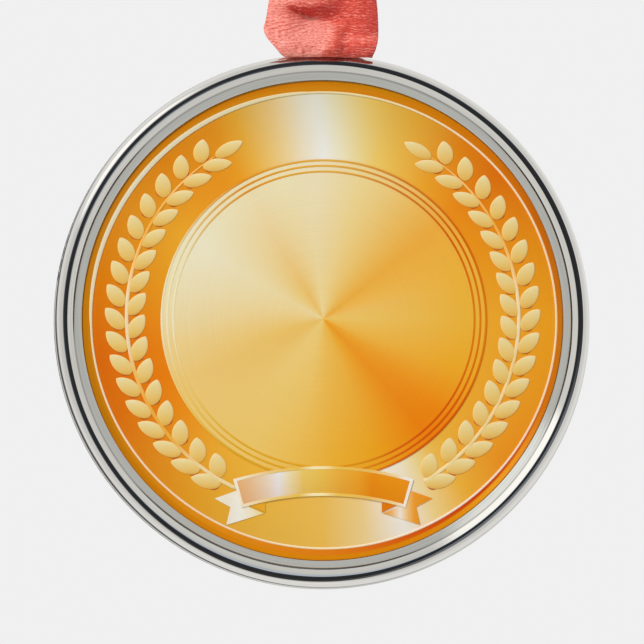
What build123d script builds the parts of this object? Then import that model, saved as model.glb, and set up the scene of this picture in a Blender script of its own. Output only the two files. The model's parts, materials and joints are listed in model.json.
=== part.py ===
"""Award medal: a gold face in a polished round frame, hung by a wire bail from a loop of satin ribbon.

Millimetres, +Z up, the face looks along -Y. The origin is the inside top of the ribbon loop, where a hook
or a peg carries it, so the bail's bar and the medal hang straight below it.
"""
from build123d import *
from math import asin, cos, degrees, radians, sin
import os

# ---- driving dimensions -------------------------------------------------------------------------------
medal_r = 32.5          # outside radius of the frame
ribbon_drop = 62.0      # from the peg down to the axis of the bail's bar
bar_rise = 1.5          # bar axis above the top of the frame
pivot_drop = 4.1        # bail pivot below the bar axis

# depth stations along Y, front to back; the bail hangs in the plane y = 0
crown_y = -3.6
face_y = -2.1
plate_back_y = -1.4
frame_back_y = -1.0
web_y = 0.3
inlay_y = 1.3
back_y = 1.8

# frame radii
crown_r = 31.22
crown_half = 0.28       # half the crown's width, between its two shoulders
shoulder_y = -3.56
ridge_r = 30.2
ridge_half = 0.12
ridge_h = 0.08
ridge_y = -2.95
cone_y = -2.4            # where the inner cone meets the short wall round the face
rear_bevel = 0.15
lip_r = 29.3            # edge of the visible face
seat_r = 30.6           # rabbet that holds the face plate
shell_r = 32.8          # a little larger than the frame, so its rim shows behind it
shell_round = 0.6
shell_front_round = 0.3
pad_r = 27.8            # deep recess in the rear shell, filled by the backing pad
inlay_r = 27.5
inlay_bevel = 0.12
fit_gap = 0.02
side_gap = 0.05

# relief on the face
rim_band_h = 0.08
border_h = 0.12
border_r = 28.3
border_w = 0.4
border_shift = 0.16     # the inner edge is off centre, so the ring is a thin crescent
disc_r = 19.75
disc_h = 0.12
line_w = 0.28
line_h = 0.05
line_radii = {"outer": 19.58, "middle": 18.9, "inner": 18.19}

# laurel branch, given for the left side and mirrored for the right
stem_r = 23.1
stem_centre = (-0.79, 0.35)
stem_start = 122.5
stem_end = 246.0
stem_w = 0.46
stem_h = 0.12
leaf_h = 0.14
leaf_gap = 0.06         # between a leaf and its stem
leaf_first = 127.5
# outer and inner row: side of the stem, count, span along the stem, offset from it, then lean, length and
# width at the first and the last leaf, and the power that the lean changes with
leaf_rows = (
    (1, 17, 112.9, 0.4, (45.0, 17.0), (2.95, 3.75), (2.0, 1.8), 2),
    (-1, 16, 111.6, 0.2, (-29.0, -48.0), (3.6, 3.05), (1.6, 2.1), 1),
)
tip_leaf = (3.8, 1.6)

# banner: a sector of a ring about a centre far below the face
banner_centre = -56.4
banner_r = (34.9, 38.5)
banner_half = 16.5
banner_h = 0.26
border_line = 0.37
panel_h = 0.2
tail_h = 0.16
fold_h = 0.1

# bail and ribbon
wire_r = 0.45
bail_half = 4.25        # leg axis from the centre line
bend_r = 0.9
pin_reach = 6.4
pin_hole_r = 0.5
pin_hole_end = 6.7
notch_half = 5.3
notch_floor = 0.8       # below the pivot axis
ribbon_t = 0.6
ribbon_wrap_r = 0.53
peg_r = 4.0
ribbon_half = 8.0
# half widths of the gathered ribbon, each with its height above the bar
ribbon_gather = ((3.4, -2.0), (3.4, 1.2), (6.8, 5.0), (ribbon_half, 20.0))
stitch_rows = (16.0, 22.0)
stitch_count = 8
stitch_pitch = 1.7
stitch_len = 1.1
stitch_w = 0.3
stitch_h = 0.15

# ---- derived places -----------------------------------------------------------------------------------
bar_z = -ribbon_drop
pivot_z = bar_z - pivot_drop
centre_z = bar_z - bar_rise - medal_r
peg_z = -peg_r
notch_z = pivot_z - notch_floor - centre_z

section = Plane.XY.offset(centre_z)
spin = Axis((0, 0, centre_z), (0, 1, 0))
face = Plane(origin=(0, face_y, centre_z), x_dir=(1, 0, 0), z_dir=(0, -1, 0))


def facing(y):
    """Plane square to the face, at depth y, looking the same way as the face."""
    return Plane(origin=(0, y, centre_z), x_dir=(1, 0, 0), z_dir=(0, -1, 0))


def save(builder, label):
    builder.part.label = label
    export_step(builder.part, f"parts/{label}.step")


os.makedirs("parts", exist_ok=True)

# ---- frame --------------------------------------------------------------------------------------------
# Rolled outer bead, flat crown, inner slope, fine ridge, then a cone down to the face.
with BuildPart() as bezel:
    with BuildSketch(section):
        with BuildLine():
            Line((lip_r, face_y), (seat_r, face_y))
            Line((seat_r, face_y), (seat_r, frame_back_y))
            Line((seat_r, frame_back_y), (medal_r - rear_bevel, frame_back_y))
            Line((medal_r - rear_bevel, frame_back_y), (medal_r, frame_back_y - rear_bevel))
            Line((medal_r, frame_back_y - rear_bevel), (medal_r, face_y))
            TangentArc((medal_r, face_y), (crown_r + crown_half, shoulder_y), tangent=(0, -1))
            ThreePointArc(
                (crown_r + crown_half, shoulder_y),
                (crown_r, crown_y),
                (crown_r - crown_half, shoulder_y),
            )
            Line((crown_r - crown_half, shoulder_y), (ridge_r + ridge_half, ridge_y))
            ThreePointArc(
                (ridge_r + ridge_half, ridge_y),
                (ridge_r, ridge_y - ridge_h),
                (ridge_r - ridge_half, ridge_y),
            )
            Line((ridge_r - ridge_half, ridge_y), (lip_r, cone_y))
            Line((lip_r, cone_y), (lip_r, face_y))
        make_face()
    revolve(axis=spin)
save(bezel, "bezel")

# Rear shell: a cup with a spigot that presses the face plate into the frame, a deep recess for the
# backing pad, a shallow one for the back inlay, and a notch at the top with two pivot holes for the bail.
with BuildPart() as rear_shell:
    with BuildSketch(facing(back_y)):
        Circle(shell_r)
    extrude(amount=back_y - frame_back_y)
    fillet(rear_shell.edges().group_by(Axis.Y)[-1], radius=shell_round)
    fillet(rear_shell.edges().group_by(Axis.Y)[0], radius=shell_front_round)
    with BuildSketch(facing(frame_back_y)):
        Circle(seat_r - fit_gap)
        Circle(pad_r, mode=Mode.SUBTRACT)
    extrude(amount=frame_back_y - plate_back_y)
    with BuildSketch(facing(web_y)):
        Circle(pad_r)
    extrude(amount=web_y - plate_back_y, mode=Mode.SUBTRACT)
    with BuildSketch(facing(back_y)):
        Circle(inlay_r)
    extrude(amount=back_y - inlay_y, mode=Mode.SUBTRACT)
    with BuildSketch(facing(back_y)):
        with Locations((0, notch_z)):
            Rectangle(2 * notch_half, medal_r, align=(Align.CENTER, Align.MIN))
    extrude(amount=back_y - frame_back_y, mode=Mode.SUBTRACT)
    with BuildSketch(Plane.YZ.offset(-pin_hole_end)):
        with Locations((0, pivot_z)):
            Circle(pin_hole_r)
    extrude(amount=2 * pin_hole_end, mode=Mode.SUBTRACT)
save(rear_shell, "rear_shell")

with BuildPart() as back_plate:
    with BuildSketch(facing(back_y)):
        Circle(inlay_r - fit_gap)
    extrude(amount=back_y - inlay_y)
    chamfer(back_plate.edges().group_by(Axis.Y)[-1], length=inlay_bevel)
save(back_plate, "back_plate")

with BuildPart() as backing_pad:
    with BuildSketch(facing(web_y)):
        Circle(pad_r - side_gap)
    extrude(amount=web_y - plate_back_y)
save(backing_pad, "backing_pad")

with BuildPart() as face_plate:
    with BuildSketch(facing(plate_back_y)):
        Circle(seat_r - fit_gap)
    extrude(amount=plate_back_y - face_y)
save(face_plate, "face_plate")

# ---- banner outline, which the disc, rings and stems stop at -------------------------------------------


def sector(radii, half_angle):
    """Sector of a ring, symmetric about the vertical through the face centre."""
    inner_r, outer_r = radii
    side_x = sin(radians(half_angle))
    side_y = cos(radians(half_angle))
    with BuildSketch() as shape:
        with BuildLine():
            ThreePointArc(
                (-outer_r * side_x, banner_centre + outer_r * side_y),
                (0, banner_centre + outer_r),
                (outer_r * side_x, banner_centre + outer_r * side_y),
            )
            Line(
                (outer_r * side_x, banner_centre + outer_r * side_y),
                (inner_r * side_x, banner_centre + inner_r * side_y),
            )
            ThreePointArc(
                (inner_r * side_x, banner_centre + inner_r * side_y),
                (0, banner_centre + inner_r),
                (-inner_r * side_x, banner_centre + inner_r * side_y),
            )
            Line(
                (-inner_r * side_x, banner_centre + inner_r * side_y),
                (-outer_r * side_x, banner_centre + outer_r * side_y),
            )
        make_face()
    return shape.sketch


def corners(points, side):
    """Closed polygon through points given for the left side, mirrored where side is +1."""
    with BuildSketch() as shape:
        with BuildLine():
            Polyline([(-side * x, y) for x, y in points], close=True)
        make_face()
    return shape.sketch


panel_radii = (banner_r[0] + border_line, banner_r[1] - border_line)
panel_half = banner_half - degrees(2 * border_line / sum(banner_r))
banner_shape = sector(banner_r, banner_half)
panel_shape = sector(panel_radii, panel_half)
tail_points = [(-13.2, -21.8), (-10.5, -20.85), (-8.9, -22.9), (-7.2, -23.6), (-11.75, -25.0), (-11.25, -22.85)]
fold_points = [(-8.95, -22.6), (-7.05, -22.3), (-7.05, -23.5)]

# ---- relief -------------------------------------------------------------------------------------------
with BuildPart() as rim_band:
    with BuildSketch(face):
        Circle(lip_r - side_gap)
        Circle(border_r, mode=Mode.SUBTRACT)
    extrude(amount=rim_band_h)
save(rim_band, "rim_band")

with BuildPart() as border_ring:
    with BuildSketch(face):
        Circle(border_r)
        with Locations((border_shift * cos(radians(-45)), border_shift * sin(radians(-45)))):
            Circle(border_r - border_w, mode=Mode.SUBTRACT)
    extrude(amount=border_h)
save(border_ring, "border_ring")

with BuildPart() as centre_disc:
    with BuildSketch(face):
        Circle(disc_r)
        add(banner_shape, mode=Mode.SUBTRACT)
    extrude(amount=disc_h)
save(centre_disc, "centre_disc")

for line_name, line_r in line_radii.items():
    with BuildPart() as ring_line:
        with BuildSketch(face.offset(disc_h)):
            Circle(line_r + line_w / 2)
            Circle(line_r - line_w / 2, mode=Mode.SUBTRACT)
            add(banner_shape, mode=Mode.SUBTRACT)
        extrude(amount=line_h)
    save(ring_line, f"ring_line_{line_name}")


def stem_point(angle, side, offset=0.0):
    """Point on a branch's stem, offset outwards, as x and y on the face."""
    radius = stem_r + offset
    x = stem_centre[0] + radius * cos(radians(angle))
    y = stem_centre[1] + radius * sin(radians(angle))
    return (-side * x, y)


def stem_shape(side, half_width):
    """Stroke along the stem, full width at the foot and tapering to the tip."""
    middle = (stem_start + stem_end) / 2
    tip = stem_point(stem_start, side)
    with BuildSketch() as shape:
        with BuildLine():
            ThreePointArc(tip, stem_point(middle, side, half_width), stem_point(stem_end, side, half_width))
            Line(stem_point(stem_end, side, half_width), stem_point(stem_end, side, -half_width))
            ThreePointArc(stem_point(stem_end, side, -half_width), stem_point(middle, side, -half_width), tip)
        make_face()
    return shape.sketch


def leaf_shape(length, width):
    """Pointed oval from its foot at the origin to its tip on +X."""
    with BuildSketch() as shape:
        with BuildLine():
            ThreePointArc((0, 0), (length / 2, width / 2), (length, 0))
            ThreePointArc((length, 0), (length / 2, -width / 2), (0, 0))
        make_face()
    return shape.sketch


def between(ends, along):
    """Value part of the way along from the first of two ends to the second."""
    return ends[0] + along * (ends[1] - ends[0])


def leaf_places(side):
    """Location, length and width of every leaf of a branch: outer row, inner row and tip."""
    places = []
    for row, count, span, offset, lean, length, width, power in leaf_rows:
        for index in range(count):
            along = index / (count - 1)
            angle = leaf_first + along * span + sin(radians(360 * along))
            x, y = stem_point(angle, side, row * offset)
            turn = angle - 90 + between(lean, along**power)
            place = Location((x, y), 180 - turn if side > 0 else turn)
            places.append((place, between(length, along), between(width, along)))
    x, y = stem_point(stem_start, side)
    turn = stem_start - 93
    places.append((Location((x, y), 180 - turn if side > 0 else turn), *tip_leaf))
    return places


for side, side_name in ((-1, "left"), (1, "right")):
    with BuildPart() as stem:
        with BuildSketch(face):
            add(stem_shape(side, stem_w / 2))
            add(banner_shape, mode=Mode.SUBTRACT)
            add(corners(tail_points, side), mode=Mode.SUBTRACT)
        extrude(amount=stem_h)
    save(stem, f"laurel_{side_name}_stem")

    with BuildPart() as leaves:
        with BuildSketch(face):
            for place, length, width in leaf_places(side):
                with Locations(place):
                    add(leaf_shape(length, width))
            add(stem_shape(side, stem_w / 2 + leaf_gap), mode=Mode.SUBTRACT)
            add(banner_shape, mode=Mode.SUBTRACT)
        extrude(amount=leaf_h)
    save(leaves, f"laurel_{side_name}_leaves")

    with BuildPart() as tail:
        with BuildSketch(face):
            add(corners(tail_points, side))
            add(banner_shape, mode=Mode.SUBTRACT)
            add(corners(fold_points, side), mode=Mode.SUBTRACT)
        extrude(amount=tail_h)
    save(tail, f"banner_tail_{side_name}")

    with BuildPart() as fold:
        with BuildSketch(face):
            add(corners(fold_points, side))
            add(banner_shape, mode=Mode.SUBTRACT)
        extrude(amount=fold_h)
    save(fold, f"banner_fold_{side_name}")

with BuildPart() as banner_panel:
    with BuildSketch(face):
        add(panel_shape)
    extrude(amount=panel_h)
save(banner_panel, "banner_panel")

with BuildPart() as banner_border:
    with BuildSketch(face):
        add(banner_shape)
        add(panel_shape, mode=Mode.SUBTRACT)
    extrude(amount=banner_h)
save(banner_border, "banner_border")

# ---- bail: one bent wire, its ends turned out as pivot pins ---------------------------------------------
with BuildPart() as bail:
    with BuildLine():
        FilletPolyline(
            (-pin_reach, 0, pivot_z),
            (-bail_half, 0, pivot_z),
            (-bail_half, 0, bar_z),
            (bail_half, 0, bar_z),
            (bail_half, 0, pivot_z),
            (pin_reach, 0, pivot_z),
            radius=bend_r,
        )
    with BuildSketch(Plane(origin=(-pin_reach, 0, pivot_z), z_dir=(1, 0, 0))):
        Circle(wire_r)
    sweep()
save(bail, "bail")

# ---- ribbon: a flat band round the bar and the peg, gathered to a neck at the bar -------------------------


def belt(grow):
    """Outline of a tight band round the peg and the bar, seen from the side."""
    with BuildSketch(Plane.YZ) as shape:
        with Locations((0, peg_z)):
            Circle(peg_r + grow)
        with Locations((0, bar_z)):
            Circle(ribbon_wrap_r + grow)
        make_hull()
    return shape.sketch


with BuildPart() as ribbon_loop:
    extrude(belt(ribbon_t), amount=ribbon_half, both=True)
    extrude(belt(0), amount=ribbon_half, both=True, mode=Mode.SUBTRACT)
    with BuildSketch(Plane.XZ):
        with BuildLine():
            Polyline(
                (0, bar_z + ribbon_gather[0][1]),
                *[(half, bar_z + height) for half, height in ribbon_gather],
                (ribbon_half, peg_r),
                (0, peg_r),
                close=True,
            )
        make_face()
        mirror(about=Plane.YZ)
    extrude(amount=2 * peg_r, both=True, mode=Mode.INTERSECT)
save(ribbon_loop, "ribbon_loop")

# Stitches lie on the rear strand, whose outer face leans with the band's common tangent.
lean = asin((peg_r - ribbon_wrap_r) / (peg_z - bar_z))
rear_normal = Vector(0, cos(lean), -sin(lean))
rear_upward = Vector(0, sin(lean), cos(lean))
with BuildPart() as ribbon_stitching:
    for row in stitch_rows:
        foot = Vector(0, 0, bar_z) + rear_normal * (ribbon_wrap_r + ribbon_t)
        spot = foot + rear_upward * row
        with BuildSketch(Plane(origin=spot, x_dir=(1, 0, 0), z_dir=rear_normal)):
            with GridLocations(stitch_pitch, 1, stitch_count, 1):
                SlotOverall(stitch_len, stitch_w)
        extrude(amount=stitch_h)
save(ribbon_stitching, "ribbon_stitching")
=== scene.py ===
"""Looks of the hanging award medal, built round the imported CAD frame. Metres, the frame's own axes.

The medal's face looks along -Y. Stations on the face are given in millimetres from the face centre.
"""
import json
import math

import bmesh
import bpy
import numpy as np
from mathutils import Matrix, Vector

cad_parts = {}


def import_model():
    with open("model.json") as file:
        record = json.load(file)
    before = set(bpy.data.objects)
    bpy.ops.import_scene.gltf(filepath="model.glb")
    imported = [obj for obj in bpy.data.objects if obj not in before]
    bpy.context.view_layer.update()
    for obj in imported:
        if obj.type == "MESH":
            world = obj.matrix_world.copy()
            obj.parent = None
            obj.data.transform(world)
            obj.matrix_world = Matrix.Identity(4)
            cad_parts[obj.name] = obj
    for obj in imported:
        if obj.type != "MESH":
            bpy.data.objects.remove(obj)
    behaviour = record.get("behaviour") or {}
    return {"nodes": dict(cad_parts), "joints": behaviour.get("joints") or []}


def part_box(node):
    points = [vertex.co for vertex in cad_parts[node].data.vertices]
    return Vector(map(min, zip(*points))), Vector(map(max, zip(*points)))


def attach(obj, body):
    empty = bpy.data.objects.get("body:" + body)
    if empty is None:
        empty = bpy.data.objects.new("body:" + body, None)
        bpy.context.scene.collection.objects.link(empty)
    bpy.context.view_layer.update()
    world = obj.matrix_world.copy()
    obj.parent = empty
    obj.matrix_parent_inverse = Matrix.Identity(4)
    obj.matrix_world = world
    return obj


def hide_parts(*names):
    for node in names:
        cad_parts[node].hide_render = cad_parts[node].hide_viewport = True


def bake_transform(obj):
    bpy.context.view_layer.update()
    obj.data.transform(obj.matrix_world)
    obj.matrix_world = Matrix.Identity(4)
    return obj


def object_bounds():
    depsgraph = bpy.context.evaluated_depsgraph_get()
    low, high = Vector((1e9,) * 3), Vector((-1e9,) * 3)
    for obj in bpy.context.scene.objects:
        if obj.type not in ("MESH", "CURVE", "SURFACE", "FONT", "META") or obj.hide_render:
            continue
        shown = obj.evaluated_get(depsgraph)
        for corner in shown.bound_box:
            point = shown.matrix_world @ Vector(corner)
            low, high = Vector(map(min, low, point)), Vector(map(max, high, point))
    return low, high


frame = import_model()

cad_low, cad_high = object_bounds()
MM = 0.001

# ---- places read from the frame ----
bezel_low, bezel_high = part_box("bezel")
FRONT_Y = bezel_low.y
RIM_R = (bezel_high.x - bezel_low.x) / 2
CENTRE_Z = (bezel_high.z + bezel_low.z) / 2
FACE_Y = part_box("face_plate")[0].y
SEAT_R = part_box("face_plate")[1].x
BAR_Z = next(j["pos_m"][2] for j in frame["joints"] if j["name"] == "bail_swing")

SEGMENTS = 360
SUNK = 0.02 * MM            # how far the feet of the artwork reach into the ground
SAME_POINT = 0.002 * MM     # points nearer than this are joined, as at a leaf's tip


# ---- mesh helpers ----
def make_solid(name, verts, faces, join=None, vectors=None):
    """A smooth mesh object from points in metres, with every face turned outwards.

    join is the distance within which points become one. vectors is a name and a vector for every point,
    stored for the material."""
    mesh = bpy.data.meshes.new(name)
    mesh.from_pydata([tuple(v) for v in verts], [], [tuple(f) for f in faces])
    mesh.validate()
    mesh.update()
    if vectors:
        attribute = mesh.attributes.new(vectors[0], "FLOAT_VECTOR", "POINT")
        attribute.data.foreach_set("vector", np.asarray(vectors[1], np.float32).ravel())
    work = bmesh.new()
    work.from_mesh(mesh)
    if join:
        bmesh.ops.remove_doubles(work, verts=work.verts, dist=join)
        bmesh.ops.dissolve_degenerate(work, dist=1e-8, edges=work.edges)
    bmesh.ops.recalc_face_normals(work, faces=work.faces)
    work.to_mesh(mesh)
    work.free()
    mesh.polygons.foreach_set("use_smooth", [True] * len(mesh.polygons))
    obj = bpy.data.objects.new(name, mesh)
    bpy.context.scene.collection.objects.link(obj)
    return obj


def round_corners(points, radius, steps=4, closed=True):
    """The profile with each corner replaced by a short arc-like curve.

    Each curve has one more point on either side, which keeps the shading of the flats between them flat."""
    points = [np.array(p, float) for p in points]
    count = len(points)
    out = []
    for i, corner in enumerate(points):
        if not closed and i in (0, count - 1):
            out.append(corner)
            continue
        before = points[i - 1] - corner
        after = points[(i + 1) % count] - corner
        reach = min(radius, 0.38 * np.linalg.norm(before), 0.38 * np.linalg.norm(after))
        start = corner + before / np.linalg.norm(before) * reach
        end = corner + after / np.linalg.norm(after) * reach
        out.append(corner + 1.2 * (start - corner))
        for k in range(steps + 1):
            t = k / steps
            out.append((1 - t) ** 2 * start + 2 * t * (1 - t) * corner + t * t * end)
        out.append(corner + 1.2 * (end - corner))
    return out


def turned(angle, radius, y):
    """Point at an angle and a distance from the medal's axis."""
    return radius * math.cos(angle), y, CENTRE_Z + radius * math.sin(angle)


def lathe(name, profile, segments=SEGMENTS, shift=None, sink=None):
    """Closed profile of (radius, y) in metres, turned about the medal's axis.

    shift(angle, radius) may move a point's radius, for a ring that is not quite concentric, and
    sink(angle, radius, y) its depth, for a rib that dies away in places."""
    count = len(profile)
    verts, faces = [], []
    for i in range(segments):
        angle = 2 * math.pi * i / segments
        here, there = i * count, (i + 1) % segments * count
        for j, (radius, y) in enumerate(profile):
            k = (j + 1) % count
            moved = radius + (shift(angle, radius) if shift else 0)
            depth = y + (sink(angle, radius, y) if sink else 0)
            verts.append(turned(angle, moved, depth))
            faces.append((here + j, here + k, there + k, there + j))
    return make_solid(name, verts, faces)


def disc(name, profile, stretch=None):
    """Open profile from the axis at the front round to the axis at the back, as a closed turned solid.

    stretch(angle) may scale its radius, for a disc that is not quite round."""
    inner = profile[1:-1]
    count = len(inner)
    verts = [turned(0, 0, profile[0][1]), turned(0, 0, profile[-1][1])]
    faces = []
    for i in range(SEGMENTS):
        angle = 2 * math.pi * i / SEGMENTS
        scale = stretch(angle) if stretch else 1
        verts += [turned(angle, scale * radius, y) for radius, y in inner]
        here, there = 2 + i * count, 2 + (i + 1) % SEGMENTS * count
        faces += [(0, here, there), (1, there + count - 1, here + count - 1)]
        faces += [(here + j, here + j + 1, there + j + 1, there + j) for j in range(count - 1)]
    return make_solid(name, verts, faces)


def joined(solids):
    """Points and faces of several solids as one list of points and one of faces."""
    verts, faces = [], []
    for solid_verts, solid_faces in solids:
        faces += [tuple(i + len(verts) for i in face) for face in solid_faces]
        verts += list(solid_verts)
    return verts, faces


def grid_solid(top, bottom):
    """Closed solid between two grids of points of the same shape, rows by columns."""
    rows, columns = top.shape[:2]
    verts = np.concatenate([top.reshape(-1, 3), bottom.reshape(-1, 3)])
    offset = rows * columns
    faces = []
    for i in range(rows - 1):
        for j in range(columns - 1):
            a, b = i * columns + j, (i + 1) * columns + j
            faces.append((a, b, b + 1, a + 1))
            faces.append((offset + a, offset + a + 1, offset + b + 1, offset + b))
    border = [(i, 0) for i in range(rows)] + [(rows - 1, j) for j in range(1, columns)]
    border += [(i, columns - 1) for i in range(rows - 2, -1, -1)]
    border += [(0, j) for j in range(columns - 2, 0, -1)]
    loop = [i * columns + j for i, j in border]
    for k, a in enumerate(loop):
        b = loop[(k + 1) % len(loop)]
        faces.append((a, offset + a, offset + b, b))
    return verts, faces


def plate(name, outline, base_y, height, bevel, hole=None):
    """Flat plate standing on the face: outline in mm from the face centre, bevelled edges, optional hole."""

    def ring(points, depth):
        return [(x * MM, base_y - depth, CENTRE_Z + z * MM) for x, z in points]

    def walls(low, high):
        pairs = [(i, (i + 1) % count) for i in range(count)]
        return [(low + i, low + k, high + k, high + i) for i, k in pairs]

    count = len(outline)
    verts = ring(outline, 0) + ring(outline, height)
    faces = walls(0, count)
    if hole is None:
        faces = [tuple(range(count)), tuple(range(2 * count - 1, count - 1, -1))] + faces
    else:
        verts += ring(hole, height) + ring(hole, 0)
        faces += walls(count, 2 * count) + walls(2 * count, 3 * count) + walls(3 * count, 0)
    obj = make_solid(name, verts, faces)
    edge = obj.modifiers.new("edge", "BEVEL")
    edge.width = bevel
    edge.segments = 3
    edge.limit_method = "ANGLE"
    edge.angle_limit = math.radians(25)
    edge.harden_normals = True
    bevelled = bpy.data.meshes.new_from_object(obj.evaluated_get(bpy.context.evaluated_depsgraph_get()))
    obj.modifiers.clear()
    obj.data = bevelled
    return obj


def smooth_step(value, low, high):
    """0 up to low and 1 from high on, with a soft change between them."""
    t = np.clip((value - low) / (high - low), 0, 1)
    return t * t * (3 - 2 * t)


def bell(value, centre, spread):
    """1 at the centre, falling off on both sides of it."""
    return np.exp(-((value - centre) / spread) ** 2)


def finish_piece(obj, material, body="medal", replaces=()):
    """Gives a piece its material and slot, hides what it stands for, and makes it ride its body."""
    obj.data.materials.clear()
    obj.data.materials.append(material)
    if replaces:
        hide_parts(*replaces)
    if body:
        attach(obj, body)


# ---- shader helpers ----
def linear(code):
    """Hex sRGB colour as linear RGBA."""
    values = [int(code[i:i + 2], 16) / 255 for i in (0, 2, 4)]
    return [v / 12.92 if v <= 0.04045 else ((v + 0.055) / 1.055) ** 2.4 for v in values] + [1.0]


class Shader:
    """A material or world node tree, with short calls to add nodes."""

    def __init__(self, name, world=None):
        owner = world or bpy.data.materials.new(name)
        owner.use_nodes = True
        self.tree = owner.node_tree
        if world:
            self.tree.nodes.clear()
        else:
            self.material = owner
            self.surface = self.tree.nodes["Principled BSDF"]

    def feed(self, socket, value):
        """Links a node's output to the socket, or sets it to a number, a vector or a hex colour."""
        if isinstance(value, bpy.types.NodeSocket):
            self.tree.links.new(value, socket)
        elif value is not None:
            socket.default_value = linear(value) if isinstance(value, str) else value

    def node(self, kind, inputs=(), **settings):
        made = self.tree.nodes.new(kind)
        for key, value in settings.items():
            setattr(made, key, value)
        for key, value in inputs.items() if isinstance(inputs, dict) else enumerate(inputs):
            self.feed(made.inputs[key], value)
        return made

    def finish(self, **values):
        """Sets the Principled shader's sockets by name, with _ for a space, and gives the material."""
        for key, value in values.items():
            self.feed(self.surface.inputs[key.replace("_", " ")], value)
        return self.material

    def math(self, operation, a, b=None, c=None):
        return self.node("ShaderNodeMath", (a, b, c), operation=operation).outputs[0]

    def remap(self, value, low, high, to_low=0.0, to_high=1.0, smooth=False):
        kind = "SMOOTHSTEP" if smooth else "LINEAR"
        inputs = {"Value": value, "From Min": low, "From Max": high, "To Min": to_low, "To Max": to_high}
        return self.node("ShaderNodeMapRange", inputs, interpolation_type=kind, clamp=True).outputs[0]

    def ramp(self, value, stops):
        """Colour by the value; stops give hex colours or greys at places in the value's own units."""
        low, high = min(stops), max(stops)
        if (low, high) != (0, 1):
            value = self.remap(value, low, high)
        made = self.node("ShaderNodeValToRGB", (value,))
        elements = made.color_ramp.elements
        for i, (place, colour) in enumerate(stops.items()):
            element = elements[i] if i < 2 else elements.new((place - low) / (high - low))
            element.position = (place - low) / (high - low)
            element.color = linear(colour) if isinstance(colour, str) else (colour, colour, colour, 1)
        return made.outputs[0]

    def mix(self, factor, a, b, blend="MIX"):
        made = self.node("ShaderNodeMix", {0: factor, 6: a, 7: b}, data_type="RGBA", blend_type=blend)
        return made.outputs[2]

    def grey(self, value):
        return self.node("ShaderNodeCombineColor", (value, value, value)).outputs[0]

    def place(self):
        """Place on the piece in its own axes, in metres."""
        return self.node("ShaderNodeTexCoord").outputs["Object"]

    def stored(self, name):
        """The three parts of a vector that is stored on the mesh."""
        vector = self.node("ShaderNodeAttribute", attribute_name=name).outputs["Vector"]
        return self.node("ShaderNodeSeparateXYZ", (vector,)).outputs

    def noise(self, vector, scale, detail=3.0, roughness=0.5):
        inputs = {"Vector": vector, "Scale": scale, "Detail": detail, "Roughness": roughness}
        return self.node("ShaderNodeTexNoise", inputs).outputs["Fac"]

    def marks(self, u, v, u_scale, v_scale, detail, roughness=0.7):
        """Noise over two coordinates, each with its own scale."""
        scaled = (self.math("MULTIPLY", u, u_scale), self.math("MULTIPLY", v, v_scale), 0.0)
        return self.noise(self.node("ShaderNodeCombineXYZ", scaled).outputs[0], 1.0, detail, roughness)

    def bump(self, height, distance, strength=1.0, normal=None):
        inputs = {"Height": height, "Distance": distance, "Strength": strength, "Normal": normal}
        return self.node("ShaderNodeBump", inputs).outputs[0]


class FaceShader(Shader):
    """A material that knows its place on the face: x and z in mm from the medal's axis, the distance from
    it, and the turn about it from 0 to 1, anticlockwise from +X."""

    def __init__(self, name):
        super().__init__(name)
        parts = self.node("ShaderNodeSeparateXYZ", (self.place(),)).outputs
        self.x = self.math("MULTIPLY", parts[0], 1 / MM)
        self.z = self.math("MULTIPLY", self.math("SUBTRACT", parts[2], CENTRE_Z), 1 / MM)
        squares = self.math("MULTIPLY", self.x, self.x), self.math("MULTIPLY", self.z, self.z)
        self.radius = self.math("SQRT", self.math("ADD", *squares))
        self.turn = self.math("FRACT", self.math("DIVIDE", self.math("ARCTAN2", self.z, self.x), 2 * math.pi))

    def cone(self, stops):
        """Colour by the turn, with stops in degrees; the one at 0 also ends the full turn."""
        turns = {angle / 360: colour for angle, colour in stops.items()}
        return self.ramp(self.turn, {**turns, 1: stops[0]})

    def gold(self, colour, roughness=0.4, mark=0.02):
        """Finishes as lacquered metal: the colour with fine concentric brushing in tone and height."""
        grain = self.marks(self.radius, self.turn, 9.0, 5.0, 4.0)
        tone = self.grey(self.remap(grain, 0.25, 0.75, 1 - mark, 1 + mark))
        return self.finish(Base_Color=self.mix(1.0, colour, tone, "MULTIPLY"), Metallic=0.12,
                           Specular_IOR_Level=0.12, Normal=self.bump(grain, 0.006 * MM, 0.5),
                           Roughness=self.remap(grain, 0.2, 0.8, roughness - 0.06, roughness + 0.06))


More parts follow.
